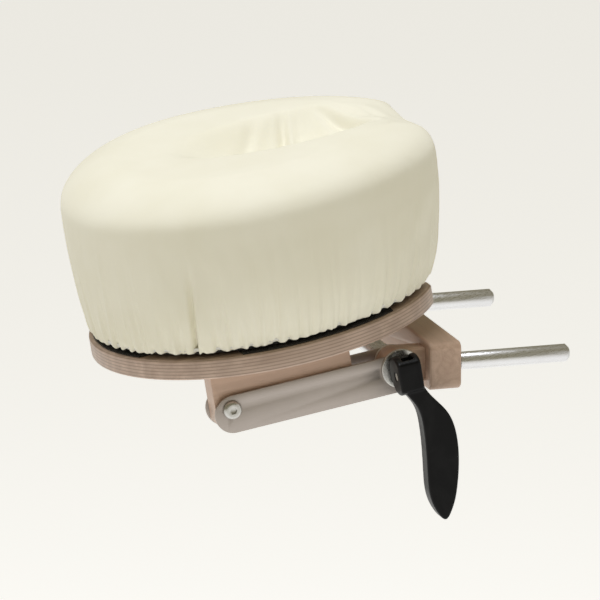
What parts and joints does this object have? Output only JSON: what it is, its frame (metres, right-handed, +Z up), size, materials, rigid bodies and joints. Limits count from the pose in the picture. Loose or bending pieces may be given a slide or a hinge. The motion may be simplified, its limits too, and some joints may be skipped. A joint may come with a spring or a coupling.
{
  "type": "face cradle",
  "caption": "Adjustable massage-table face cradle: a crescent head cushion in a fitted cloth cover on a plywood platform, carried by folding arms with a cam clamp and two table posts.",
  "frame": {"origin": "middle of the crossbar's table-side face, between the two posts, where the cradle seats against the table's end", "axes": "+X out of the crossbar along the posts, into the table; +Y across, away from the clamp lever's side; +Z up"},
  "size_m": [0.3804, 0.3, 0.3028],
  "materials": {
    "plywood": "satin",
    "hardwood": "satin",
    "arm_metal": "satin",
    "post_metal": "satin",
    "fastener_steel": "satin",
    "lever_plastic": "satin",
    "saddle_plastic": "matte",
    "nylon": "matte",
    "hook_tape": "matte",
    "loop_fabric": "matte",
    "foam": "matte",
    "upholstery": "satin",
    "cover_cotton": "matte",
    "elastic": "matte"
  },
  "bodies": {
    "base": {"crossbar": "hardwood", "post_near": "post_metal", "post_far": "post_metal", "post_screws": "fastener_steel", "pivot_lug_near": "hardwood", "pivot_lug_far": "hardwood", "spindle": "fastener_steel", "cam_pin": "fastener_steel", "cam_washer": "fastener_steel", "cam_saddle": "saddle_plastic", "spacer_tube": "post_metal", "friction_washers": "nylon", "spindle_washer": "fastener_steel", "spindle_nut": "fastener_steel"},
    "lower_arms": {"arm_channel_near": "arm_metal", "arm_channel_far": "arm_metal", "pivot_bolts": "fastener_steel", "pivot_nuts": "fastener_steel", "pivot_washers": "nylon"},
    "platform": {"platform_board": "plywood", "rail_near": "hardwood", "rail_far": "hardwood", "platform_screws": "fastener_steel", "hook_tape_near": "hook_tape", "hook_tape_far": "hook_tape", "hook_tape_head": "hook_tape"},
    "cam_lever": {"cam_lever": "lever_plastic"},
    "cushion": {"loop_panel": "loop_fabric", "foam_core": "foam", "upholstery": "upholstery", "fitted_cover": "cover_cotton", "hem_elastic": "elastic"}
  },
  "joints": [
    {"name": "arm_lift", "type": "hinge", "parent": "base", "child": "lower_arms", "pos_m": [-0.048, 0, 0], "axis": [0, 1, 0], "range_deg": [-50, 15]},
    {"name": "platform_tilt", "type": "hinge", "parent": "lower_arms", "child": "platform", "pos_m": [-0.18411, 0, -0.02278], "axis": [0, -1, 0], "range_deg": [0, 70]},
    {"name": "cushion_lift", "type": "slide", "parent": "platform", "child": "cushion", "axis": [-0.165, 0, 0.9863], "range_m": [0, 0.12]},
    {"name": "cam_flip", "type": "hinge", "parent": "base", "child": "cam_lever", "pos_m": [-0.048, -0.12015, 0], "axis": [-0.9863, 0, -0.165], "range_deg": [0, 100]}
  ]
}
